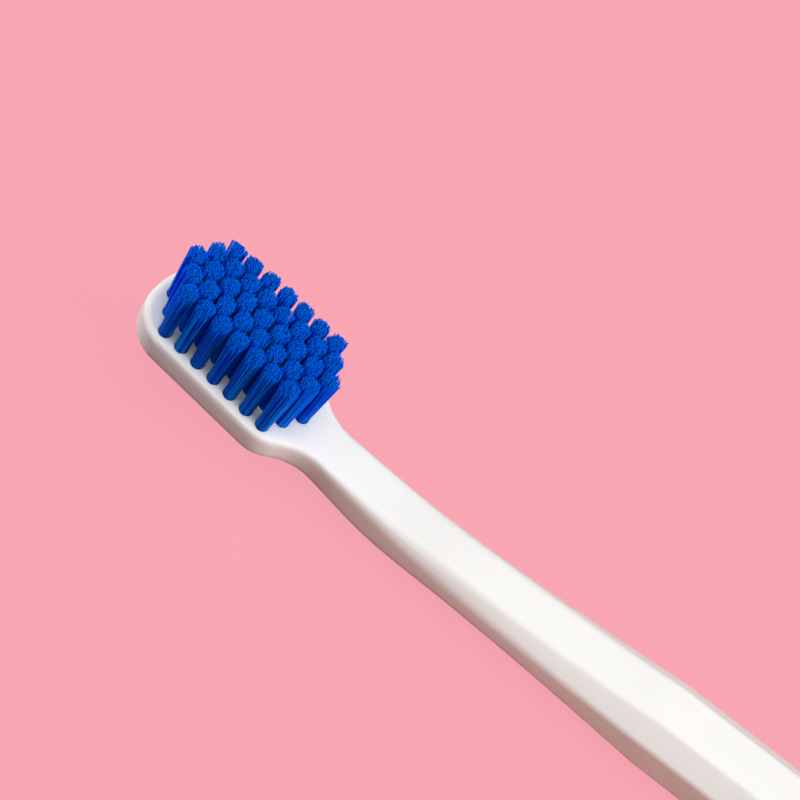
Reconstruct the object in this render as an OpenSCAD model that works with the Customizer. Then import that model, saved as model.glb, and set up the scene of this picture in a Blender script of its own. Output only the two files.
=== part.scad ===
// Manual toothbrush lying on its back with the bristles up, in millimetres.
// The grip runs along X and rests on the plane Z = 0 with its back facet.
// The head is at the low end of X, tilted up by the bend in the neck, and the
// tufts point along the head's own normal. The origin is under the middle of
// the overall length. Distances called from the tip run along the centre line.

/* [Overall] */
// Overall length from the tip of the head to the end of the butt
overall_length = 175; // [160:1:190]

/* [Head] */
// Width of the head plate
head_width = 10.8; // [10.6:0.1:12]
// Thickness of the head plate
head_thickness = 3.9; // [3.6:0.1:4.6]
// Radius of the head's corners, seen from above
head_corner_radius = 4.8; // [4:0.1:5.2]
// Rounding of the head's edges all round
head_edge_radius = 0.8; // [0.4:0.05:1.1]
// Where the head's rear corners begin, from the tip
shoulder_from_tip = 17.0; // [16.6:0.1:19]

/* [Tufts] */
// Distance between neighbouring tufts in one row
tuft_pitch = 2.25; // [2.15:0.01:2.32]
// Distance from each side of the head to the outer row of tufts there
tuft_side_margin = 1.6; // [1.5:0.05:1.7]
// Distance from the tip of the head to the first tuft of the middle row
tuft_tip_margin = 1.9; // [1.7:0.1:2.4]
// Diameter of one tuft where it leaves its hole
tuft_diameter = 1.5; // [1.35:0.01:1.65]
// Diameter of one tuft at its top, where its strands have fanned out
tuft_top_diameter = 2; // [1.7:0.01:2.1]
// Height of the tufts above the head plate
tuft_height = 9.2; // [7:0.1:12]
// Width of one strand across its corners
strand_width = 0.32; // [0.2:0.01:0.34]
// How far single strands stand above or below the trim height
trim_play = 0.12; // [0:0.02:0.3]

/* [Tuft holes and anchors] */
// Depth of the blind tuft holes
hole_depth = 2.8; // [2.4:0.1:3.2]
// Gap between a tuft and the wall of its hole
hole_clearance = 0.03; // [0.01:0.01:0.08]
// Thickness of an anchor plate
anchor_thickness = 0.3; // [0.2:0.05:0.4]
// Height of an anchor plate
anchor_height = 1.4; // [1:0.1:1.7]
// Height of the filament folded under an anchor plate
fold_height = 0.5; // [0.3:0.05:0.6]
// Angle of the anchor plates to the width of the head
anchor_angle = 30; // [0:5:60]

/* [Neck] */
// Where the neck is narrowest, from the tip
waist_from_tip = 24.6; // [24:0.1:28]
// Width of the neck at its narrowest
waist_width = 5.2; // [4.6:0.1:6]
// Thickness of the neck at its narrowest
waist_thickness = 4.2; // [4:0.1:5]
// Length over which the corners between the facets are eased at the waist
waist_easing = 1.1; // [0.6:0.1:1.6]
// Angle between the head and the grip
bend_angle = 12.7; // [4:0.1:16]
// Where the bend begins, from the tip
bend_from_tip = 29; // [28.5:0.5:36]
// Length of the bend along the centre line
bend_length = 9; // [6:0.5:12]

/* [Grip] */
// Where the grip reaches its full section, from the tip
grip_from_tip = 67; // [58:1:76]
// Width of the grip at its widest
grip_width = 8.8; // [8.2:0.1:11]
// Thickness of the grip at its widest
grip_thickness = 8.4; // [7.6:0.1:10]
// Width of the flat facets on the front and the back
front_facet_width = 4.6; // [3.6:0.1:5.2]
// Height of the facets on the two sides of the grip
side_facet_height = 3.9; // [3:0.1:4.6]
// Length over which the corners between the grip's facets are eased
grip_easing = 0.4; // [0.2:0.05:0.6]

/* [Butt] */
// Width of the grip where the butt begins
butt_width = 8.2; // [7.6:0.1:9.6]
// Thickness of the grip where the butt begins
butt_thickness = 7.6; // [7:0.1:9]
// Length of the rounded butt
butt_length = 4.5; // [3:0.5:7]

/* [Hidden] */
// Length by which a cutter runs past the face that it cuts
overrun = 0.5;

// Tufts in each row, from the near side to the far side
row_counts = [7, 8, 9, 8, 7];
row_total = len(row_counts);
middle_row = (row_total + 1) / 2;
// Distance between neighbouring rows
row_pitch = (head_width / 2 - tuft_side_margin) / (middle_row - 1);
// Strands on the inner and on the outer circle of a tuft
inner_count = 3;
outer_count = 9;
strand_sides = 3;
// Sides that a round hole or root is drawn with
round_sides = 14;
// Margin from the strands to the rim of the tuft's root
root_rim = 0.04;
// Radius of the inner circle of strands as a share of the outer one
inner_circle_share = 0.4;
// Turn from one strand's height to the next, which scatters the trim
scatter_turn = 137.5;
// Lean of the outer strands, which fans a tuft out to its top diameter
strand_lean = atan((tuft_top_diameter - tuft_diameter) / 2 / tuft_height);

// Steps on each eased corner of a section, and points in its quarter
corner_steps = 4;
quarter_points = 2 * (corner_steps + 1);
// Leg of the chamfer that two eased corners turn into a round of radius 1
round_leg_share = 2 - sqrt(2);
// The longest easing, as a share of the facet that it starts on
full_ease_share = 0.46;
// Size of the small octagon that closes the butt, as a share of the grip's
butt_face_share = 0.45;

// Sections round the nose, along each shoulder arc, the neck and the butt
nose_steps = 10;
shoulder_steps = 6;
neck_steps = 22;
butt_steps = 6;
// Slant of the plan outline at the first section, where the nose is all but flat
first_nose_turn = 4;

// From the waist to the full grip: the way gone, the growth in thickness, and
// how far the side facet has given way to the slanting ones, 1 being the grip
growth_shares = [
    [0.00, 0.00, 0.00],
    [0.17, 0.32, 0.26],
    [0.28, 0.37, 0.68],
    [0.42, 0.37, 1.08],
    [0.58, 0.40, 1.14],
    [0.75, 0.54, 1.09],
    [0.92, 0.80, 1.02],
    [1.00, 1.00, 1.00]
];
// Half the stretch over which the growth is smoothed, as a share of the way
smoothing_share = 0.03;

function tuft_name(r, c) = str("tuft_r", r, "_c", c);
function mix(a, b, t) = a + (b - a) * t;
function along(s, from, to) = max(0, min(1, (s - from) / (to - from)));
function unit(v) = v / norm(v);

// The centre line: straight head and neck, bend, straight grip
bend_end = bend_from_tip + bend_length;
bend_radius = bend_length / (bend_angle * PI / 180);
// How far the lower edge of the tilted tip stands out past the centre line
tip_overhang = head_edge_radius * (1 - cos(bend_angle))
    + (head_thickness / 2 - head_edge_radius) * sin(bend_angle);
bend_end_x = tip_overhang - overall_length / 2
    + bend_from_tip * cos(bend_angle) + bend_radius * sin(bend_angle);
centre_length = bend_end + overall_length / 2 - bend_end_x;
butt_start = centre_length - butt_length;

// Tilt of the section at s, which is measured from the tip along the centre line
function tilt(s) = bend_angle * (1 - along(s, bend_from_tip, bend_end));

// Point of the centre line at s, as X and Z. Along the grip it follows half
// the thickness, so that the back facet stays level.
function centre(s) =
    let (head_stretch = max(0, bend_from_tip - s))
    [
        bend_end_x + max(0, s - bend_end)
            - bend_radius * sin(tilt(s)) - head_stretch * cos(bend_angle),
        half_thickness(max(s, grip_from_tip))
            + bend_radius * (1 - cos(tilt(s))) + head_stretch * sin(bend_angle)
    ];

// Plan outline behind the head: two tangent arcs from the shoulder to the
// waist. The slope where they meet follows from the drop and the run.
shoulder_drop = (head_width - waist_width) / 2;
shoulder_run = waist_from_tip - shoulder_from_tip;
shoulder_slope = 2 * atan(shoulder_drop / shoulder_run);
throat_radius = shoulder_run / sin(shoulder_slope) - head_corner_radius;
arcs_meet = shoulder_from_tip + head_corner_radius * sin(shoulder_slope);

// Slope of the plan outline between the head and the waist
function plan_slope(s) =
    s < shoulder_from_tip ? 0
    : s < arcs_meet ? asin((s - shoulder_from_tip) / head_corner_radius)
    : asin((waist_from_tip - s) / throat_radius);

// Softened reading of a column of growth_shares
function growth(t, column) =
    let (
        table = [for (row = growth_shares) [row[0], row[column]]],
        before = lookup(t - smoothing_share, table),
        after = lookup(t + smoothing_share, table)
    )
    (before + 2 * lookup(t, table) + after) / 4;

// Half sizes of the section at s: the full width and thickness, the front
// facet and the side facet
edge_leg = head_edge_radius * round_leg_share;
function half_width(s) =
    s < arcs_meet ? head_width / 2 - head_corner_radius * (1 - cos(plan_slope(s)))
    : s < waist_from_tip ? waist_width / 2 + throat_radius * (1 - cos(plan_slope(s)))
    : s < grip_from_tip ? mix(waist_width, grip_width, along(s, waist_from_tip, grip_from_tip)) / 2
    : mix(grip_width, butt_width, along(s, grip_from_tip, butt_start)) / 2;
function half_thickness(s) =
    s < waist_from_tip
    ? mix(head_thickness, waist_thickness, along(s, shoulder_from_tip, waist_from_tip)) / 2
    : s < grip_from_tip
    ? mix(waist_thickness, grip_thickness, growth(along(s, waist_from_tip, grip_from_tip), 1)) / 2
    : mix(grip_thickness, butt_thickness, along(s, grip_from_tip, butt_start)) / 2;
function half_front(s) =
    s < waist_from_tip ? half_width(s) - edge_leg / cos(plan_slope(s))
    : mix(waist_width - 2 * edge_leg, front_facet_width, along(s, waist_from_tip, grip_from_tip)) / 2;
function half_side(s) =
    let (
        edge_share = 1 - edge_leg / half_thickness(min(s, waist_from_tip)),
        grip_share = side_facet_height / grip_thickness
    )
    half_thickness(s)
        * mix(edge_share, grip_share, growth(along(s, waist_from_tip, grip_from_tip), 2));
function easing(s) = mix(waist_easing, grip_easing, along(s, waist_from_tip, grip_from_tip));

// Points that ease the corner at p between its neighbours a and b
function eased(a, p, b, ease) =
    let (
        p0 = p + unit(a - p) * min(ease, full_ease_share * norm(a - p)),
        p1 = p + unit(b - p) * min(ease, full_ease_share * norm(b - p))
    )
    [
        for (i = [0:corner_steps])
        let (t = i / corner_steps)
        mix(mix(p0, p, t), mix(p, p1, t), t)
    ];

// Quarter of an eight-sided section, from the side to the front
function facet_quarter(s) =
    let (
        side = [half_width(s), half_side(s)],
        front = [half_front(s), half_thickness(s)]
    )
    concat(
        eased([side[0], -side[1]], side, front, easing(s)),
        eased(side, front, [-front[0], front[1]], easing(s))
    );

// Quarter of a section through the rounded nose. Each point lies on the plan
// outline drawn in by as much as the edge round is at the point's height.
function nose_quarter(s) =
    let (top_turn = acos(max(0, 1 - s / head_edge_radius)))
    [
        for (i = [0:quarter_points - 1])
        let (
            turn = top_turn * i / (quarter_points - 1),
            inset = head_edge_radius * (1 - cos(turn)),
            reach = pow(head_corner_radius - inset, 2) - pow(head_corner_radius - s, 2)
        )
        [
            head_width / 2 - head_corner_radius + sqrt(max(0, reach)),
            head_thickness / 2 - head_edge_radius * (1 - sin(turn))
        ]
    ];

// Whole section in space: a quarter mirrored round, shrunk by size and set
// square to the centre line
function section(s, size) =
    let (
        quarter = s < head_corner_radius ? nose_quarter(s) : facet_quarter(s),
        half = concat(quarter, [for (i = [quarter_points - 1:-1:0]) [-quarter[i][0], quarter[i][1]]]),
        middle = centre(s)
    )
    [
        for (p = concat(half, -half))
        let (y = size * p[0], z = size * p[1])
        [middle[0] + z * sin(tilt(s)), y, middle[1] + z * cos(tilt(s))]
    ];

// Skin through a row of sections, with a flat face at each end
module loft(sections) {
    around = len(sections[0]);
    last = (len(sections) - 1) * around;
    polyhedron(
        points = [for (ring = sections) each ring],
        faces = concat(
            [[for (j = [0:around - 1]) j]],
            [
                for (i = [0:around:last - around])
                for (j = [0:around - 1])
                let (k = (j + 1) % around)
                each [
                    [i + j, i + around + j, i + around + k],
                    [i + j, i + around + k, i + k]
                ]
            ],
            [[for (j = [around - 1:-1:0]) last + j]]
        )
    );
}

// Where the sections lie, from the nose to the start of the butt
section_places = concat(
    [
        for (i = [0:nose_steps])
        head_corner_radius * (1 - cos(mix(first_nose_turn, 90, i / nose_steps)))
    ],
    [
        for (i = [0:shoulder_steps - 1])
        shoulder_from_tip + head_corner_radius * sin(shoulder_slope * i / shoulder_steps)
    ],
    [
        for (i = [shoulder_steps:-1:0])
        waist_from_tip - throat_radius * sin(shoulder_slope * i / shoulder_steps)
    ],
    [for (i = [1:neck_steps]) mix(waist_from_tip, grip_from_tip, i / neck_steps)],
    [butt_start]
);

// Sections of the rounded butt, which shrink as a quarter of an ellipse does
butt_sections = [
    for (i = [1:butt_steps])
    let (turn = 90 * i / butt_steps)
    section(butt_start + butt_length * sin(turn), mix(butt_face_share, 1, cos(turn)))
];

// Place of a tuft: its children stand on the head plate, square to it
module at_tuft(r, c) {
    from_tip = tuft_tip_margin
        + (c - 1 + (row_counts[middle_row - 1] - row_counts[r - 1]) / 2) * tuft_pitch;
    axis_point = centre(from_tip);
    translate([axis_point[0], (r - middle_row) * row_pitch, axis_point[1]])
        rotate([0, tilt(from_tip), 0])
            translate([0, 0, head_thickness / 2])
                children();
}

module at_each_tuft() {
    for (r = [1:row_total]) {
        for (c = [1:row_counts[r - 1]]) {
            at_tuft(r, c) children();
        }
    }
}

hole_diameter = tuft_diameter + 2 * hole_clearance;
root_depth = hole_depth - hole_clearance;
anchor_floor = root_depth - fold_height;
// The anchor plate's corners all but reach the wall of its hole
anchor_reach = sqrt(pow(hole_diameter / 2, 2) - pow(anchor_thickness / 2, 2)) - hole_clearance / 2;
// The strands reach halfway down to the slot round the anchor plate
strand_seat = (anchor_floor - anchor_height - hole_clearance) / 2;

// Moulded handle in one piece: head plate, neck, grip and butt
module handle() {
    color("white")
        difference() {
            loft(concat([for (s = section_places) section(s, 1)], butt_sections));
            at_each_tuft()
                translate([0, 0, -hole_depth])
                    cylinder(h = hole_depth + overrun, d = hole_diameter, $fn = round_sides);
        }
}

// Plate that holds a folded tuft down in its hole, grown by gap all round
module anchor(gap) {
    translate([0, 0, anchor_height / 2 - anchor_floor])
        rotate(anchor_angle)
            cube(
                [anchor_thickness + 2 * gap, 2 * (anchor_reach + gap), anchor_height + 2 * gap],
                center = true
            );
}

module anchor_plates() {
    color("silver")
        at_each_tuft()
            anchor(0);
}

// One tuft: strands standing in a root that fills the hole round its anchor
module tuft(r, c) {
    outer_radius = (tuft_diameter - strand_width) / 2 - root_rim;
    // Each strand's place: its share of the outer radius and its turn
    places = concat(
        [for (k = [0:inner_count - 1]) [inner_circle_share, 360 * k / inner_count]],
        [for (k = [0:outer_count - 1]) [1, 360 * k / outer_count]]
    );
    color("royalblue")
        at_tuft(r, c)
            union() {
                difference() {
                    translate([0, 0, -root_depth])
                        cylinder(h = root_depth, d = tuft_diameter, $fn = round_sides);
                    anchor(hole_clearance);
                }
                for (k = [0:len(places) - 1]) {
                    serial = k + len(places) * (c + len(places) * r);
                    trimmed = tuft_height + trim_play * sin(scatter_turn * serial);
                    rotate(places[k][1])
                        translate([outer_radius * places[k][0], 0, 0])
                            rotate([0, strand_lean * places[k][0], 0])
                                translate([0, 0, -strand_seat])
                                    cylinder(
                                        h = strand_seat + trimmed,
                                        d = strand_width,
                                        $fn = strand_sides
                                    );
                }
            }
}

handle();
anchor_plates();
for (r = [1:row_total]) {
    for (c = [1:row_counts[r - 1]]) {
        tuft(r, c);
    }
}
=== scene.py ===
import math

import bpy
from mathutils import Matrix, Vector


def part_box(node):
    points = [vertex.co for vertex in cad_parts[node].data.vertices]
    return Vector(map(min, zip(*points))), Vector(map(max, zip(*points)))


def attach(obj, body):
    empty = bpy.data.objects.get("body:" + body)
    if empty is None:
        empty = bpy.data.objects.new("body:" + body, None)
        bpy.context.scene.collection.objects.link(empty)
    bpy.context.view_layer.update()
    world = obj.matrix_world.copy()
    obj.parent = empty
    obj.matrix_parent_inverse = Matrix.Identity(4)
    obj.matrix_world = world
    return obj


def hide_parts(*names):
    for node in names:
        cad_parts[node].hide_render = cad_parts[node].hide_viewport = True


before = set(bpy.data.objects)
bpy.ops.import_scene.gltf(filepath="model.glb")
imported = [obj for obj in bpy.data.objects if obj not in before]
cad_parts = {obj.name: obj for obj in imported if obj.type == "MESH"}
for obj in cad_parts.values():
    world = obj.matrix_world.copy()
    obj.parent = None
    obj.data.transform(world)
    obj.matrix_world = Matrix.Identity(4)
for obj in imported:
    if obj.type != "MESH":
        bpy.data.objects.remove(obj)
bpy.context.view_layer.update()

# Lengths are in metres, angles in radians
MM = 0.001
BODY = "root"

# The solid tufts that the filaments stand in for
TUFTS_IN_ROWS = (7, 8, 9, 8, 7)
MIDDLE_ROW = 3
ROOT_DEPTH = 2.77 * MM
ROOT_SLICE = 0.05 * MM

# The filaments of one tuft
FILAMENTS = 140
FILAMENT_RADIUS = 0.057 * MM
BASE_RADIUS = 0.68 * MM
TOP_RADIUS = 0.96 * MM
FILAMENT_LENGTH = 9.28 * MM
CROWN = 0.34 * MM
TRIM_PLAY = 0.10 * MM
WANDER = 0.08 * MM
LOCK_WIDTH = 0.40 * MM
LOCK_SHIFT = 0.45 * MM
BOW = 0.04 * MM
LEAN = 0.07 * MM
STRAY_SHARE = 0.04
STRAY_LEAN = 0.24 * MM
TIP_LENGTH = 0.05 * MM
TIP_TURN = math.radians(78)

# The folded filaments straddle the anchor plate in the hole
SHALLOW_SEAT = 0.8 * MM
DEEP_SEAT = 2.6 * MM
ANCHOR_HALF_WIDTH = 0.22 * MM
ANCHOR_TURN = math.radians(30)

# The long sides of the field are trimmed lower. On the near side the drop grows evenly
# from the neck to the nose, and on the far side only over the last part before the nose.
TRIM_FROM = 3.7 * MM
TRIM_TO = 4.8 * MM
NOSE_DROP = 0.9 * MM
NECK_DROP = 0.35 * MM
FAR_DROP = 0.30 * MM
FAR_NOSE_DROP = 2.0 * MM
FAR_NOSE_SHARE = 0.4
HALF_FIELD = 9.0 * MM


# Shorthand for node trees

class Wiring:
    """Adds nodes to a tree. An input is given a plain value or another node's output."""

    def __init__(self, tree):
        self.tree = tree

    def node(self, kind, inputs=None, **settings):
        made = self.tree.nodes.new(kind)
        for name, value in settings.items():
            setattr(made, name, value)
        for name, value in (inputs or {}).items():
            socket = made.inputs[name]
            if isinstance(value, bpy.types.NodeSocket):
                self.tree.links.new(value, socket)
            else:
                socket.default_value = value
        return made

    def math(self, operation, a, b=0.0, clamp=False):
        made = self.node("ShaderNodeMath", {0: a, 1: b}, operation=operation, use_clamp=clamp)
        return made.outputs[0]

    def vector(self, operation, a, b=(0.0, 0.0, 0.0)):
        return self.node("ShaderNodeVectorMath", {0: a, 1: b}, operation=operation).outputs[0]

    def measure(self, operation, a, b=(0.0, 0.0, 0.0)):
        made = self.node("ShaderNodeVectorMath", {0: a, 1: b}, operation=operation)
        return made.outputs["Value"]

    def scaled(self, vector, share):
        made = self.node("ShaderNodeVectorMath", {0: vector, "Scale": share}, operation="SCALE")
        return made.outputs[0]

    def combined(self, x, y, z):
        return self.node("ShaderNodeCombineXYZ", {0: x, 1: y, 2: z}).outputs[0]

    def separated(self, vector):
        return self.node("ShaderNodeSeparateXYZ", {0: vector}).outputs

    def ramp(self, share, stops):
        made = self.node("ShaderNodeValToRGB", {0: share})
        points = made.color_ramp.elements
        while len(points) < len(stops):
            points.new(0.5)
        for point, (place, colour) in zip(points, stops):
            point.position = place
            point.color = (*colour, 1.0)
        return made.outputs[0]

    def noise(self, places, scale, detail=3.0, roughness=0.5):
        inputs = {"Vector": places, "Scale": scale, "Detail": detail, "Roughness": roughness}
        return self.node("ShaderNodeTexNoise", inputs).outputs[0]

    def between(self, value, low, high, start=0.0, stop=1.0):
        """Goes from low to high while the value goes from start to stop."""
        ends = {"From Min": start, "From Max": stop, "To Min": low, "To Max": high}
        return self.node("ShaderNodeMapRange", {"Value": value, **ends}).outputs[0]

    def mixed(self, share, a, b):
        made = self.node("ShaderNodeMix", {"Factor": share, 6: a, 7: b}, data_type="RGBA")
        return made.outputs[2]

    def stretched(self, places, scale, turn=(0.0, 0.0, 0.0)):
        inputs = {"Vector": places, "Rotation": turn, "Scale": scale}
        return self.node("ShaderNodeMapping", inputs).outputs[0]

    def bump(self, height, distance, strength, under=None):
        inputs = {"Height": height, "Distance": distance, "Strength": strength}
        if under is not None:
            inputs["Normal"] = under
        return self.node("ShaderNodeBump", inputs).outputs[0]

    def places(self):
        return self.node("ShaderNodeTexCoord").outputs["Object"]

    def attribute(self, name):
        return self.node("ShaderNodeAttribute", attribute_name=name).outputs["Fac"]

    def principled(self, colour, roughness, normal, **constants):
        inputs = {"Base Color": colour, "Roughness": roughness, "Normal": normal, **constants}
        return self.node("ShaderNodeBsdfPrincipled", inputs).outputs[0]

    def mixed_shaders(self, share, a, b):
        return self.node("ShaderNodeMixShader", {0: share, 1: a, 2: b}).outputs[0]


def new_material(name):
    made = bpy.data.materials.new(name)
    made.use_nodes = True
    made.node_tree.nodes.clear()
    return made, Wiring(made.node_tree)


def finish_material(w, shader):
    w.node("ShaderNodeOutputMaterial", {"Surface": shader})


def seen_by_the_camera(w):
    """One for rays from the camera, also by way of gloss or glass, and nought for light."""
    path = w.node("ShaderNodeLightPath").outputs
    seen = w.math("MAXIMUM", path["Is Camera Ray"], path["Is Glossy Ray"])
    return w.math("MAXIMUM", seen, path["Is Transmission Ray"])


# White moulded plastic. The scales of all patterns are in waves to the metre.

CLOUD_SCALE = 55.0
FLOW_STRETCH = (18.0, 260.0, 260.0)
STREAK_SHARE = 0.45
SPECK_SCALE = 95.0
SPECK_SIZE = 0.018
SPECK_SHARE = 0.35
SPECK_COLOUR = (0.46, 0.40, 0.37, 1.0)
EDGE_REACH = 0.5 * MM
EDGE_GAIN = 7.0
RUBBED_SHARE = 0.5
RUBBED_COLOUR = (0.935, 0.928, 0.910, 1.0)
RUBBED_POLISH = 0.10
SMUDGE_STRETCH = (60.0, 210.0, 210.0)
GRAIN_SCALE = 5200.0
GRAIN_ROUGHNESS = 0.03
GRAIN_DEPTH = 0.0022 * MM
DIMPLE_SCALE = 1500.0
DIMPLE_DEPTH = 0.0040 * MM


def white_moulded_plastic():
    """Opaque white plastic out of a lightly blasted mould, rubbed smoother along its edges."""
    material, w = new_material("white_moulded_plastic")
    places = w.places()
    cloudy = w.noise(places, CLOUD_SCALE, detail=4.0)
    flow = w.noise(w.stretched(places, FLOW_STRETCH), 1.0, detail=4.0, roughness=0.6)
    grain = w.noise(places, GRAIN_SCALE, detail=2.0, roughness=0.55)
    dimples = w.noise(places, DIMPLE_SCALE)
    smudges = w.noise(w.stretched(places, SMUDGE_STRETCH), 1.0, detail=5.0, roughness=0.65)

    body = w.ramp(cloudy, [(0.3, (0.890, 0.882, 0.855)), (0.7, (0.915, 0.910, 0.888))])
    streak = w.ramp(flow, [(0.35, (0.895, 0.888, 0.862)), (0.65, (0.918, 0.913, 0.893))])
    colour = w.mixed(STREAK_SHARE, body, streak)

    cells = w.node("ShaderNodeTexVoronoi", {"Vector": places, "Scale": SPECK_SCALE})
    speck = w.math("LESS_THAN", cells.outputs["Distance"], SPECK_SIZE)
    colour = w.mixed(w.math("MULTIPLY", speck, SPECK_SHARE), colour, SPECK_COLOUR)

    rounded = w.node("ShaderNodeBevel", {"Radius": EDGE_REACH}, samples=4).outputs[0]
    facing = w.node("ShaderNodeNewGeometry").outputs["Normal"]
    edge = w.math("SUBTRACT", 1.0, w.measure("DOT_PRODUCT", rounded, facing))
    edge = w.math("MULTIPLY", edge, EDGE_GAIN, clamp=True)
    rubbed = w.math("MULTIPLY", edge, w.between(flow, low=0.3, high=1.0))
    colour = w.mixed(w.math("MULTIPLY", rubbed, RUBBED_SHARE), colour, RUBBED_COLOUR)

    satin = w.between(smudges, low=0.44, high=0.58)
    satin = w.math("ADD", satin, w.between(grain, -GRAIN_ROUGHNESS, GRAIN_ROUGHNESS))
    satin = w.math("SUBTRACT", satin, w.math("MULTIPLY", rubbed, RUBBED_POLISH))
    relief = w.bump(dimples, DIMPLE_DEPTH, strength=0.6)
    relief = w.bump(grain, GRAIN_DEPTH, strength=0.7, under=relief)
    shader = w.principled(
        colour,
        satin,
        relief,
        **{
            "IOR": 1.49,
            "Specular IOR Level": 0.25,
            "Subsurface Weight": 0.30,
            "Subsurface Radius": (1.0, 0.72, 0.6),
            "Subsurface Scale": 2.2 * MM,
        },
    )
    finish_material(w, shader)
    return material


# Blue nylon. Each ramp goes from its darkest colour to its lightest. The spread is partly the
# filaments' own tone and partly painted light and shade of their locks.

INNER_DYE_AND_SHADE = [(0.0, (0.0002, 0.140, 1.000)), (1.0, (0.0030, 0.600, 1.000))]
# Painted shade: the outer ramp is darker, for filaments on the long sides that get more light
OUTER_DYE_AND_SHADE = [(0.0, (0.0002, 0.075, 0.850)), (1.0, (0.0030, 0.620, 1.000))]
TIP_FADE = 6.0
DYE_AND_SHADE_AT_TIP = 0.15
DYE_AND_SHADE_AT_SIDE = 0.90
DRAWN_STRETCH = (9000.0, 9000.0, 500.0)
DRAWN_DEPTH = 0.0035 * MM
DULL_TIP = 0.12
SEEP_SHARE = 0.6


def blue_nylon():
    """Dyed nylon filament, clear enough that light seeps through the tuft.

    Filaments on the long sides of the field are painted darker. This painted shade holds down the
    extra light that reaches them."""
    material, w = new_material("blue_nylon_filament")
    rise = w.attribute("rise")
    from_plate_to_tip = w.ramp(
        rise,
        [
            (0.0, (0.0010, 0.300, 0.940)),
            (0.3, (0.0010, 0.320, 0.990)),
            (0.9, (0.0010, 0.320, 0.990)),
            (1.0, (0.0020, 0.290, 0.850)),
        ],
    )
    tint_and_painted_shade = w.attribute("tint_and_painted_shade")
    # Painted light and shade: the ramps paint each lock lighter or darker, and the long sides of
    # the field darker
    dye_and_painted_shade = w.mixed(w.attribute("at_outside"), w.ramp(tint_and_painted_shade, INNER_DYE_AND_SHADE), w.ramp(tint_and_painted_shade, OUTER_DYE_AND_SHADE))
    at_side = w.math("SUBTRACT", 1.0, w.math("POWER", rise, TIP_FADE))
    # The painted light and shade shows along the filaments' sides and fades out at their tips
    colour = w.mixed(w.between(at_side, DYE_AND_SHADE_AT_TIP, DYE_AND_SHADE_AT_SIDE), from_plate_to_tip, dye_and_painted_shade)
    drawn = w.noise(w.stretched(w.places(), DRAWN_STRETCH, HEAD_TURN), 1.0, detail=2.0)
    dull_tip = w.math("MULTIPLY", w.math("MULTIPLY", rise, rise), DULL_TIP)
    relief = w.bump(drawn, DRAWN_DEPTH, strength=0.5)
    skin = w.principled(
        colour,
        w.math("ADD", w.between(drawn, low=0.30, high=0.46), dull_tip),
        relief,
        **{"IOR": 1.53, "Specular IOR Level": 0.04, "Specular Tint": (0.05, 0.45, 1.0, 1.0)},
    )
    seep = w.node("ShaderNodeBsdfTranslucent", {"Color": colour, "Normal": relief}).outputs[0]
    finish_material(w, w.mixed_shaders(SEEP_SHARE, skin, seep))
    return material


# Wire of the anchor plates

WIRE_STRETCH = (700.0, 700.0, 9000.0)
WIRE_DEPTH = 0.0040 * MM
TARNISH_SCALE = 900.0


def stamped_wire():
    """Drawn and chopped brass-coloured wire."""
    material, w = new_material("stamped_anchor_wire")
    places = w.places()
    drawn = w.noise(w.stretched(places, WIRE_STRETCH, HEAD_TURN), 1.0)
    tarnish = w.noise(places, TARNISH_SCALE)
    colour = w.ramp(tarnish, [(0.3, (0.52, 0.44, 0.27)), (0.7, (0.68, 0.62, 0.44))])
    relief = w.bump(drawn, WIRE_DEPTH, strength=0.6)
    roughness = w.between(drawn, low=0.24, high=0.42)
    finish_material(w, w.principled(colour, roughness, relief, Metallic=1.0))
    return material


# Card of the floor. It throws less light up at the head than at the handle, and glows
# evenly from EVEN_FROM outwards.

BACKDROP = (0.950, 0.385, 0.456, 1.0)
HANDLE_BOUNCE = (0.51, 0.125, 0.075, 1.0)
HEAD_BOUNCE = (0.13, 0.00, 0.00, 1.0)
BOUNCE_FROM = -74 * MM
BOUNCE_TO = -44 * MM
FIBRE_SCALE = 900.0
CARD_ROUGHNESS = 0.6
GLOW_SHARE = 0.90
SHADE_REACH = 0.25
EVEN_FROM = 0.80


def pale_card():
    """Smooth pink card. For the camera it glows in part with its own colour, so that shadows
    are faint, and the light that it throws up at the brush is a deeper pink."""
    material, w = new_material("pale_pink_card")
    places = w.places()
    seen = seen_by_the_camera(w)
    fibres = w.noise(places, FIBRE_SCALE)
    face = w.ramp(fibres, [(0.0, (0.925, 0.372, 0.442)), (1.0, (0.945, 0.382, 0.452))])
    at_handle = w.between(w.separated(places)[0], 0.0, 1.0, BOUNCE_FROM, BOUNCE_TO)
    colour = w.mixed(seen, w.mixed(at_handle, HEAD_BOUNCE, HANDLE_BOUNCE), face)
    card = w.node("ShaderNodeBsdfDiffuse", {"Color": colour, "Roughness": CARD_ROUGHNESS})
    glow = w.node("ShaderNodeEmission", {"Color": BACKDROP, "Strength": 1.0})
    away = w.measure("LENGTH", places)
    glowing = w.math("MULTIPLY", seen, w.between(away, GLOW_SHARE, 1.0, SHADE_REACH, EVEN_FROM))
    finish_material(w, w.mixed_shaders(glowing, card.outputs[0], glow.outputs[0]))
    return material


# Where the head and its tufts are, read from the frame

def node_centre(name):
    low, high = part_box(name)
    return (low + high) / 2


def tuft_node(row, place):
    return f"tuft_r{row}_c{place}"


ROW_LENGTH = TUFTS_IN_ROWS[MIDDLE_ROW - 1]
HEAD_ALONG = (
    node_centre(tuft_node(MIDDLE_ROW, ROW_LENGTH)) - node_centre(tuft_node(MIDDLE_ROW, 1))
).normalized()
HEAD_TILT = math.atan2(-HEAD_ALONG.z, HEAD_ALONG.x)
HEAD_UP = Vector((math.sin(HEAD_TILT), 0.0, math.cos(HEAD_TILT)))
HEAD_TURN = (0.0, -HEAD_TILT, 0.0)


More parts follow.
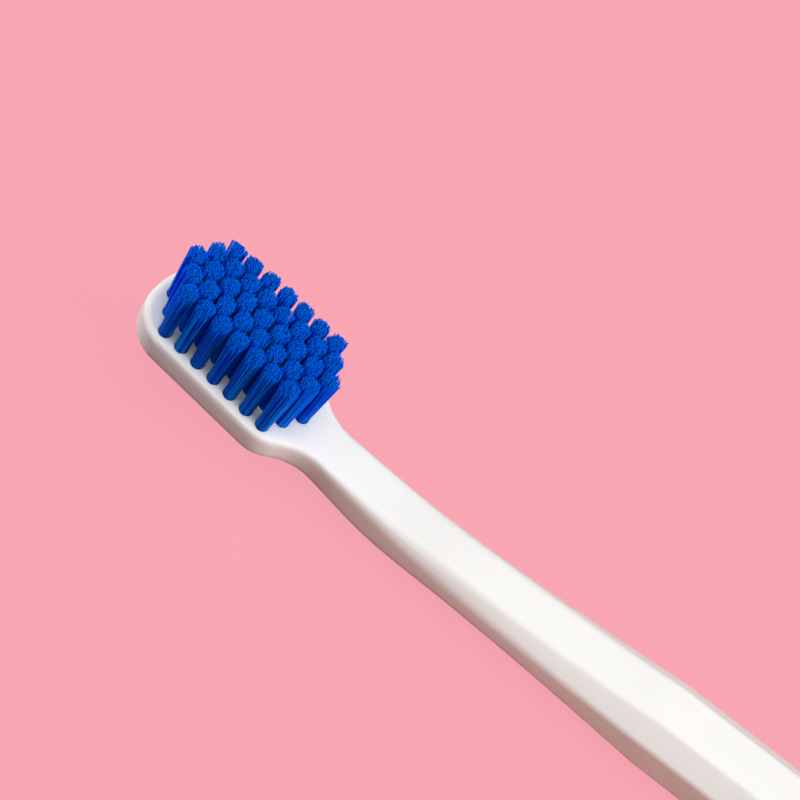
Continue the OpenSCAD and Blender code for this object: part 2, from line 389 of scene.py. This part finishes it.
def tuft_place(row, place):
    """Turn and shift that stand a tuft on the head plate, square to it."""
    points = [v.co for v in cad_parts[tuft_node(row, place)].data.vertices]
    lowest = min(point.dot(HEAD_UP) for point in points)
    root = [point for point in points if point.dot(HEAD_UP) < lowest + ROOT_SLICE]
    foot = HEAD_UP * (lowest + ROOT_DEPTH)
    for axis in (HEAD_ALONG, Vector((0.0, 1.0, 0.0))):
        reach = [point.dot(axis) for point in root]
        foot += axis * (min(reach) + max(reach)) / 2
    return Matrix.Translation(foot) @ Matrix.Rotation(HEAD_TILT, 4, "Y")


HEAD_CENTRE = tuft_place(MIDDLE_ROW, (ROW_LENGTH + 1) // 2).translation


# One tuft, made by Geometry Nodes

TUFT_SIZES = {
    "Filaments": ("NodeSocketInt", FILAMENTS),
    "Base radius": ("NodeSocketFloat", BASE_RADIUS),
    "Top radius": ("NodeSocketFloat", TOP_RADIUS),
    "Filament radius": ("NodeSocketFloat", FILAMENT_RADIUS),
    "Length": ("NodeSocketFloat", FILAMENT_LENGTH),
    "Crown": ("NodeSocketFloat", CROWN),
    "Trim play": ("NodeSocketFloat", TRIM_PLAY),
    "Wander": ("NodeSocketFloat", WANDER),
    "Lock width": ("NodeSocketFloat", LOCK_WIDTH),
    "Lock shift": ("NodeSocketFloat", LOCK_SHIFT),
    "Bow": ("NodeSocketFloat", BOW),
    "Lean": ("NodeSocketFloat", LEAN),
    "Stray share": ("NodeSocketFloat", STRAY_SHARE),
    "Stray lean": ("NodeSocketFloat", STRAY_LEAN),
    "Tip length": ("NodeSocketFloat", TIP_LENGTH),
    "Shallow seat": ("NodeSocketFloat", SHALLOW_SEAT),
    "Deep seat": ("NodeSocketFloat", DEEP_SEAT),
    "Anchor half width": ("NodeSocketFloat", ANCHOR_HALF_WIDTH),
    "Across": ("NodeSocketFloat", 0.0),
    "Side drop": ("NodeSocketFloat", 0.0),
    "Seed": ("NodeSocketInt", 0),
}
FILAMENT_SIDES = 6
FILAMENT_RINGS = 8
FREE_RINGS = 5
TIP_RINGS = FILAMENT_RINGS - FREE_RINGS - 1

# Each tuft draws its chances from seeds of its own, one for each kind
CHANCES = ("wander", "lean", "is stray", "stray lean", "bow", "trim", "tint_and_painted_shade")
SEEDS_PER_TUFT = 16.0
GOLDEN_TURN = math.radians(137.508)
TURN_PER_TUFT = 1.7
LOCK_STEP_PER_TUFT = 13.7

# Each lock is painted lighter or darker by its noise, as painted light and shade, and this noise
# seldom leaves this range. A random part of the colour varies within the lock
LOCK_NOISE_LOW = 0.34
LOCK_NOISE_HIGH = 0.66
OWN_TINT = 0.25
OUTSIDE_GAIN = 2.0


def random_vector(w, seed):
    inputs = {"Min": (-1.0,) * 3, "Max": (1.0,) * 3, "Seed": seed}
    return w.node("FunctionNodeRandomValue", inputs, data_type="FLOAT_VECTOR").outputs[0]


def random_number(w, low, high, seed):
    inputs = {2: low, 3: high, "Seed": seed}
    return w.node("FunctionNodeRandomValue", inputs, data_type="FLOAT").outputs[1]


def stored(w, geometry, name, value, kind="FLOAT"):
    inputs = {"Geometry": geometry, "Name": name, "Value": value}
    made = w.node("GeometryNodeStoreNamedAttribute", inputs, data_type=kind, domain="POINT")
    return made.outputs[0]


def read(w, name, kind="FLOAT"):
    return w.node("GeometryNodeInputNamedAttribute", {"Name": name}, data_type=kind).outputs[0]


def filament_points(w, size):
    """One point for each filament. It carries the foot, top, bow, seat, length, and a random tone
    together with its lock's painted light and shade.
    """
    seed = size["Seed"]

    def seed_for(chance):
        step = float(CHANCES.index(chance) + 1)
        return w.math("ADD", w.math("MULTIPLY", seed, SEEDS_PER_TUFT), step)

    # Places on a sunflower pattern, so that the filaments pack evenly
    number = w.node("GeometryNodeInputIndex").outputs[0]
    share = w.math("SQRT", w.math("DIVIDE", w.math("ADD", number, 0.5), size["Filaments"]))
    own_turn = w.math("MULTIPLY", seed, TURN_PER_TUFT)
    turn = w.math("ADD", w.math("MULTIPLY", number, GOLDEN_TURN), own_turn)
    spoke = w.combined(w.math("COSINE", turn), w.math("SINE", turn), 0.0)
    foot = w.scaled(spoke, w.math("MULTIPLY", share, size["Base radius"]))

    # Filaments beside the anchor plate reach down to the fold, and those over it end above it
    plate_side = (math.cos(ANCHOR_TURN), math.sin(ANCHOR_TURN), 0.0)
    off_plate = w.math("ABSOLUTE", w.measure("DOT_PRODUCT", foot, plate_side))
    beside = w.math("GREATER_THAN", off_plate, size["Anchor half width"])
    over = w.math("SUBTRACT", 1.0, beside)
    deep = w.math("MULTIPLY", beside, size["Deep seat"])
    seat = w.math("ADD", deep, w.math("MULTIPLY", over, size["Shallow seat"]))

    wander = w.scaled(random_vector(w, seed_for("wander")), size["Wander"])
    lean = w.scaled(random_vector(w, seed_for("lean")), size["Lean"])
    chance = random_number(w, 0.0, 1.0, seed_for("is stray"))
    is_stray = w.math("LESS_THAN", chance, size["Stray share"])
    stray_lean = w.math("MULTIPLY", is_stray, size["Stray lean"])
    stray = w.scaled(random_vector(w, seed_for("stray lean")), stray_lean)

    # Neighbours cling together in locks, which lean as one. Each lock is also painted lighter or
    # darker as one, as painted light and shade.
    lock_place = w.scaled(foot, w.math("DIVIDE", 1.0, size["Lock width"]))
    own_step = w.math("MULTIPLY", seed, LOCK_STEP_PER_TUFT)
    lock_place = w.vector("ADD", lock_place, w.combined(own_step, 0.0, 0.0))
    lock = w.node("ShaderNodeTexNoise", {"Vector": lock_place, "Scale": 1.0, "Detail": 1.0})
    parting = w.vector("SUBTRACT", lock.outputs[1], (0.5, 0.5, 0.5))
    parting = w.scaled(parting, size["Lock shift"])

    level = (1.0, 1.0, 0.0)
    top = w.scaled(spoke, w.math("MULTIPLY", share, size["Top radius"]))
    for drift in (wander, lean, stray, parting):
        top = w.vector("ADD", top, w.vector("MULTIPLY", drift, level))
    bow = w.scaled(random_vector(w, seed_for("bow")), size["Bow"])
    bow = w.vector("MULTIPLY", bow, level)

    # The trim: uneven, rounded over each tuft, and lower along the sides of the field
    trim = w.math("MULTIPLY", random_number(w, -1.0, 1.0, seed_for("trim")), size["Trim play"])
    crown = w.math("MULTIPLY", w.math("MULTIPLY", share, share), size["Crown"])
    length = w.math("SUBTRACT", w.math("ADD", size["Length"], trim), crown)
    from_middle = w.math("ABSOLUTE", w.math("ADD", w.separated(top)[1], size["Across"]))
    outer = w.math("SUBTRACT", from_middle, TRIM_FROM)
    outer = w.math("DIVIDE", outer, TRIM_TO - TRIM_FROM, clamp=True)
    drop = w.math("MULTIPLY", w.math("MULTIPLY", outer, outer), size["Side drop"])
    length = w.math("SUBTRACT", length, drop)

    own_tint = random_number(w, -OWN_TINT, OWN_TINT, seed_for("tint_and_painted_shade"))
    # Painted light and shade: the lock's noise paints whole locks lighter or darker
    painted_lock_shade = w.between(lock.outputs[0], 0.0, 1.0, LOCK_NOISE_LOW, LOCK_NOISE_HIGH)

    points = w.node("GeometryNodePoints", {"Count": size["Filaments"]}).outputs[0]
    points = stored(w, points, "foot", foot, "FLOAT_VECTOR")
    points = stored(w, points, "top", top, "FLOAT_VECTOR")
    points = stored(w, points, "bow", bow, "FLOAT_VECTOR")
    points = stored(w, points, "seat", seat)
    points = stored(w, points, "free", length)
    # Painted shade: share of the darker outer ramp on the long sides of the field
    at_outside = w.math("MULTIPLY", outer, OUTSIDE_GAIN, clamp=True)
    points = stored(w, points, "at_outside", at_outside)
    return stored(w, points, "tint_and_painted_shade", w.math("ADD", own_tint, painted_lock_shade, clamp=True))


def shaped_tubes(w, size, points):
    """A tube on each point. Its rings are in the hole, along the free length and round the tip."""
    tube = w.node(
        "GeometryNodeMeshCylinder",
        {"Vertices": FILAMENT_SIDES, "Side Segments": FILAMENT_RINGS, "Radius": 1.0, "Depth": 1.0},
    ).outputs[0]
    tubes = w.node("GeometryNodeInstanceOnPoints", {"Points": points, "Instance": tube}).outputs[0]
    tubes = w.node("GeometryNodeRealizeInstances", {"Geometry": tubes}).outputs[0]

    x, y, z = w.separated(w.node("GeometryNodeInputPosition").outputs[0])
    ring = w.math("MULTIPLY", w.math("ADD", z, 0.5), float(FILAMENT_RINGS))
    below = w.math("SUBTRACT", 1.0, ring, clamp=True)
    above = w.math("DIVIDE", w.math("SUBTRACT", ring, 1.0), float(FREE_RINGS), clamp=True)
    tip = w.math("SUBTRACT", ring, float(FREE_RINGS + 1))
    tip = w.math("DIVIDE", tip, float(TIP_RINGS), clamp=True)
    tip_angle = w.math("MULTIPLY", tip, TIP_TURN)

    shaft = w.math("SUBTRACT", read(w, "free"), size["Tip length"])
    in_hole = w.math("MULTIPLY", read(w, "seat"), below)
    in_tip = w.math("MULTIPLY", w.math("SINE", tip_angle), size["Tip length"])
    height = w.math("SUBTRACT", w.math("MULTIPLY", shaft, above), in_hole)
    height = w.math("ADD", height, in_tip)
    girth = w.math("MULTIPLY", w.math("COSINE", tip_angle), size["Filament radius"])

    foot = read(w, "foot", "FLOAT_VECTOR")
    to_top = w.vector("SUBTRACT", read(w, "top", "FLOAT_VECTOR"), foot)
    swing = w.math("SINE", w.math("MULTIPLY", above, math.pi))
    at = w.vector("ADD", foot, w.scaled(to_top, above))
    at = w.vector("ADD", at, w.scaled(read(w, "bow", "FLOAT_VECTOR"), swing))
    at = w.vector("ADD", at, w.scaled(w.combined(x, y, 0.0), girth))
    at = w.vector("ADD", at, w.combined(0.0, 0.0, height))
    tubes = stored(w, tubes, "rise", above)
    tubes = w.node("GeometryNodeSetPosition", {"Geometry": tubes, "Position": at}).outputs[0]
    return w.node("GeometryNodeSetShadeSmooth", {"Geometry": tubes}).outputs[0]


def tuft_tree(nylon):
    """Tree that fans slim tubes out of a hole, each with its own trim, bow and lean."""
    tree = bpy.data.node_groups.new("tuft_of_filaments", "GeometryNodeTree")
    for name, (kind, value) in TUFT_SIZES.items():
        tree.interface.new_socket(name, in_out="INPUT", socket_type=kind).default_value = value
    tree.interface.new_socket("Geometry", in_out="OUTPUT", socket_type="NodeSocketGeometry")
    w = Wiring(tree)
    size = w.node("NodeGroupInput").outputs
    tubes = shaped_tubes(w, size, filament_points(w, size))
    tubes = w.node("GeometryNodeSetMaterial", {"Geometry": tubes, "Material": nylon})
    w.node("NodeGroupOutput", {"Geometry": tubes.outputs[0]})
    return tree


def side_drop(from_centre):
    """How much lower the outermost filaments of a tuft are trimmed."""
    nose_share = 0.5 - from_centre.dot(HEAD_ALONG) / (2 * HALF_FIELD)
    if from_centre.y > 0.0:
        at_nose = max(0.0, (nose_share - 1.0) / FAR_NOSE_SHARE + 1.0)
        return FAR_DROP + (FAR_NOSE_DROP - FAR_DROP) * at_nose
    return NECK_DROP + (NOSE_DROP - NECK_DROP) * nose_share


def grow_tuft(tree, row, place, serial):
    """Plain mesh of one tuft, standing in its hole."""
    stand = tuft_place(row, place)
    from_centre = stand.translation - HEAD_CENTRE
    own = {"Seed": serial, "Across": from_centre.y, "Side drop": side_drop(from_centre)}
    name = f"bristles_r{row}_c{place}"
    seedbed = bpy.data.objects.new("seedbed", bpy.data.meshes.new("seedbed"))
    bpy.context.scene.collection.objects.link(seedbed)
    modifier = seedbed.modifiers.new("tuft", "NODES")
    modifier.node_group = tree
    for item in tree.interface.items_tree:
        if item.in_out == "INPUT" and item.name in own:
            modifier[item.identifier] = own[item.name]
    graph = bpy.context.evaluated_depsgraph_get()
    mesh = bpy.data.meshes.new_from_object(seedbed.evaluated_get(graph))
    bpy.data.objects.remove(seedbed)
    mesh.name = name
    mesh.transform(stand)
    tuft = bpy.data.objects.new(name, mesh)
    bpy.context.scene.collection.objects.link(tuft)
    return tuft


def grow_all_tufts(nylon):
    tree = tuft_tree(nylon)
    serial = 0
    for row, count in enumerate(TUFTS_IN_ROWS, start=1):
        for place in range(1, count + 1):
            serial += 1
            tuft = grow_tuft(tree, row, place, serial)
            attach(tuft, BODY)
            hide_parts(tuft_node(row, place))


# Finish of the moulded handle and the anchor plates

MERGE_DISTANCE = 0.001 * MM
CREASE_ANGLE = math.radians(32)


def smooth_skin_tree():
    """Tree that joins the loose triangles and shades them smooth up to a crease."""
    tree = bpy.data.node_groups.new("smooth_skin", "GeometryNodeTree")
    for in_out in ("INPUT", "OUTPUT"):
        tree.interface.new_socket("Geometry", in_out=in_out, socket_type="NodeSocketGeometry")
    w = Wiring(tree)
    skin = w.node("NodeGroupInput").outputs["Geometry"]
    skin = w.node(
        "GeometryNodeMergeByDistance", {"Geometry": skin, "Distance": MERGE_DISTANCE}
    ).outputs[0]
    bend = w.node("GeometryNodeInputMeshEdgeAngle").outputs["Unsigned Angle"]
    crease = w.math("GREATER_THAN", bend, CREASE_ANGLE)
    skin = w.node(
        "GeometryNodeSetMeshNormal",
        {"Mesh": skin, "Remove Custom": True, "Edge Sharpness": crease, "Face Sharpness": False},
        mode="SHARPNESS",
    ).outputs[0]
    w.node("NodeGroupOutput", {"Geometry": skin})
    return tree


def dress(node_name, material, skin_tree):
    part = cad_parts[node_name]
    part.data.materials.clear()
    part.data.materials.append(material)
    skin = part.modifiers.new("skin", "NODES")
    skin.node_group = skin_tree
    weighted = part.modifiers.new("flat_facets", "WEIGHTED_NORMAL")
    weighted.keep_sharp = True


# Stage, light and camera

FLOOR_HALF = 6.0
ROOM_COLOUR = (1.0, 0.97, 0.93, 1.0)
WATTS_PER_LEVEL = math.pi ** 2
HEAD_MIDDLE = (-0.068, 0.0, 0.012)

# The camera's place and axes, in the frame of the brush. The lens is in millimetres.
CAMERA_PLACE = Vector((-14.954, -109.022, 190.118)) * MM
CAMERA_RIGHT = Vector((0.780604, 0.596237, 0.187507))
CAMERA_UP = Vector((-0.588558, 0.600227, 0.541596))
SENSOR_WIDTH = 36.0
FOCAL_LENGTH = 97.02


def make_floor():
    mesh = bpy.data.meshes.new("floor")
    signs = [(-1, -1), (1, -1), (1, 1), (-1, 1)]
    corners = [(x * FLOOR_HALF, y * FLOOR_HALF, 0.0) for x, y in signs]
    mesh.from_pydata(corners, [], [(0, 1, 2, 3)])
    mesh.materials.append(pale_card())
    floor = bpy.data.objects.new("floor", mesh)
    bpy.context.scene.collection.objects.link(floor)


def make_world(strength):
    """Even room light. The camera and glossy surfaces see the floor's colour past its edge."""
    world = bpy.data.worlds.new("studio")
    world.use_nodes = True
    world.node_tree.nodes.clear()
    w = Wiring(world.node_tree)
    room = w.node("ShaderNodeBackground", {"Color": ROOM_COLOUR, "Strength": strength})
    backdrop = w.node("ShaderNodeBackground", {"Color": BACKDROP, "Strength": 1.0})
    mix = w.mixed_shaders(seen_by_the_camera(w), room.outputs[0], backdrop.outputs[0])
    w.node("ShaderNodeOutputWorld", {"Surface": mix})
    bpy.context.scene.world = world


def make_lamp(name, direction, distance, width, level, target=(0.0, 0.0, 0.0)):
    """Square soft white lamp that gives its target the named level when it faces it."""
    light = bpy.data.lights.new(name, "AREA")
    light.shape = "SQUARE"
    light.size = width
    light.energy = WATTS_PER_LEVEL * level * distance ** 2
    lamp = bpy.data.objects.new(name, light)
    way = Vector(direction).normalized()
    lamp.location = Vector(target) + way * distance
    lamp.rotation_euler = way.to_track_quat("Z", "Y").to_euler()
    lamp.visible_camera = False
    bpy.context.scene.collection.objects.link(lamp)


def make_camera():
    data = bpy.data.cameras.new("camera")
    data.sensor_width = SENSOR_WIDTH
    data.lens = FOCAL_LENGTH
    data.clip_start = 0.01
    data.clip_end = 50.0
    camera = bpy.data.objects.new("camera", data)
    right = CAMERA_RIGHT.normalized()
    back = right.cross(CAMERA_UP).normalized()
    up = back.cross(right)
    turn = Matrix((right, up, back)).transposed().to_4x4()
    camera.matrix_world = Matrix.Translation(CAMERA_PLACE) @ turn
    bpy.context.scene.collection.objects.link(camera)
    bpy.context.scene.camera = camera


make_camera()
make_floor()
make_world(strength=0.02)
make_lamp("overhead", (0.0, 0.0, 1.0), distance=1.2, width=0.7, level=0.22)
make_lamp(
    "above_the_head", (0.1, -0.1, 0.99), distance=0.1, width=0.1, level=0.26, target=HEAD_MIDDLE
)
make_lamp("handle_side", (0.94, 0.0, 0.342), distance=2.4, width=1.4, level=0.87)
make_lamp("handle_far_side", (0.25, 0.433, 0.866), distance=1.2, width=0.7, level=0.07)
make_lamp("handle_near_side", (0.383, -0.321, 0.866), distance=1.2, width=0.7, level=0.20)
make_lamp("nose_near_side", (-0.354, -0.354, 0.866), distance=1.2, width=0.7, level=0.10)
make_lamp("nose_side", (-0.978, 0.02, 0.21), distance=1.2, width=0.8, level=0.78)
bpy.context.scene.view_settings.view_transform = "Standard"

grow_all_tufts(blue_nylon())
skin_tree = smooth_skin_tree()
dress("handle", white_moulded_plastic(), skin_tree)
dress("anchor_plates", stamped_wire(), skin_tree)
